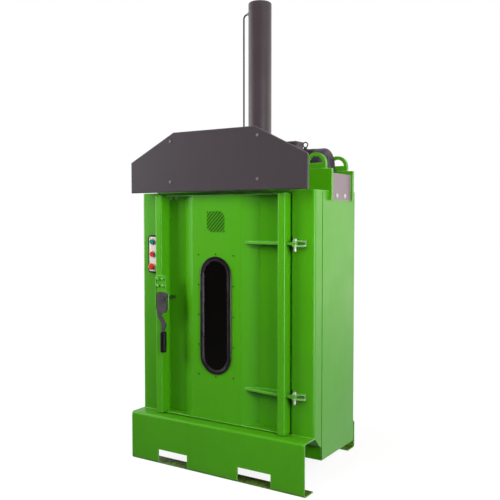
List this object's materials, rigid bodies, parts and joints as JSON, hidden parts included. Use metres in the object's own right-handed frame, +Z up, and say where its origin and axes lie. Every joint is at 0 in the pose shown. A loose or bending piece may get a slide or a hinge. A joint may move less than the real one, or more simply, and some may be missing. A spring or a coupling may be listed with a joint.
{
  "type": "stationary waste compactor",
  "caption": "Free-standing vertical waste press with a folded-sheet body, hinged door with slot window, hydraulic ram, deck-mounted power pack and fork slots.",
  "frame": {"origin": "centre of the footprint on the floor", "axes": "+X to the right, +Y to the back, +Z up; the door faces -Y"},
  "size_m": [1.236, 0.924, 2.776],
  "materials": {
    "green_paint": "satin",
    "dark_paint": "satin",
    "motor_paint": "satin",
    "zinc": "zinc plated",
    "steel": "machined",
    "rod_chrome": "ground",
    "rubber": "matte",
    "pane": "tinted clear",
    "black_plastic": "moulded",
    "cream_plastic": "moulded",
    "teal_plastic": "moulded",
    "red_plastic": "moulded"
  },
  "bodies": {
    "frame": {"front_skirt": "green_paint", "rear_foot": "green_paint", "lower_front_panel": "green_paint", "chamber_floor": "green_paint", "floor_channels": "green_paint", "left_side_panel": "green_paint", "right_side_panel": "green_paint", "back_panel": "green_paint", "back_ribs": "green_paint", "left_post": "green_paint", "right_post": "green_paint", "top_deck": "green_paint", "front_beam": "green_paint", "rear_beam": "green_paint", "lifting_lugs": "green_paint", "end_covers": "dark_paint", "end_cover_bolts": "zinc", "hood_plate": "dark_paint", "hood_arms": "dark_paint", "hood_bolts": "dark_paint", "cylinder_flange": "dark_paint", "cylinder_bolts": "zinc", "cylinder_barrel": "dark_paint", "cylinder_cap": "dark_paint", "rod_gland": "steel", "pressure_pipe": "dark_paint", "lower_pipe": "dark_paint", "suction_pipe": "rubber", "pump_pipe": "dark_paint", "pipe_fittings": "zinc", "oil_tank": "dark_paint", "tank_filler": "black_plastic", "valve_block": "steel", "pump": "dark_paint", "bellhousing": "dark_paint", "motor_body": "motor_paint", "motor_plinth": "dark_paint", "fan_cowl": "motor_paint", "terminal_box": "motor_paint", "motor_eyebolt": "motor_paint", "hinge_brackets": "green_paint", "hinge_pins": "zinc", "control_housing": "black_plastic", "control_plate": "cream_plastic"},
    "door": {"door_skin": "green_paint", "left_stile": "green_paint", "right_stile": "green_paint", "door_rails": "green_paint", "hinge_ribs": "green_paint", "window_gasket": "rubber", "window_pane": "pane", "latch_plate": "green_paint"},
    "latch": {"latch_lever": "dark_paint", "latch_grip": "black_plastic", "latch_tongue": "zinc"},
    "ram": {"piston_rod": "rod_chrome", "platen": "green_paint"},
    "start_push": {"start_button": "teal_plastic"},
    "stop_push": {"stop_button": "red_plastic"},
    "estop_push": {"estop_button": "red_plastic"}
  },
  "joints": [
    {"name": "door_swing", "type": "hinge", "parent": "frame", "child": "door", "pos_m": [0.493, -0.377, 0.9245], "axis": [0, 0, 1], "range_deg": [0, 115]},
    {"name": "latch_turn", "type": "hinge", "parent": "door", "child": "latch", "pos_m": [-0.372, -0.421, 0.998], "axis": [0, -1, 0], "range_deg": [0, 90]},
    {"name": "ram_stroke", "type": "slide", "parent": "frame", "child": "ram", "axis": [0, 0, -1], "range_m": [0, 0.9]},
    {"name": "start_press", "type": "slide", "parent": "frame", "child": "start_push", "axis": [0, 1, 0], "range_m": [0, 0.004], "stiffness_N_per_m": 600},
    {"name": "stop_press", "type": "slide", "parent": "frame", "child": "stop_push", "axis": [0, 1, 0], "range_m": [0, 0.004], "stiffness_N_per_m": 600},
    {"name": "estop_press", "type": "slide", "parent": "frame", "child": "estop_push", "axis": [0, 1, 0], "range_m": [0, 0.004], "stiffness_N_per_m": 800}
  ]
}
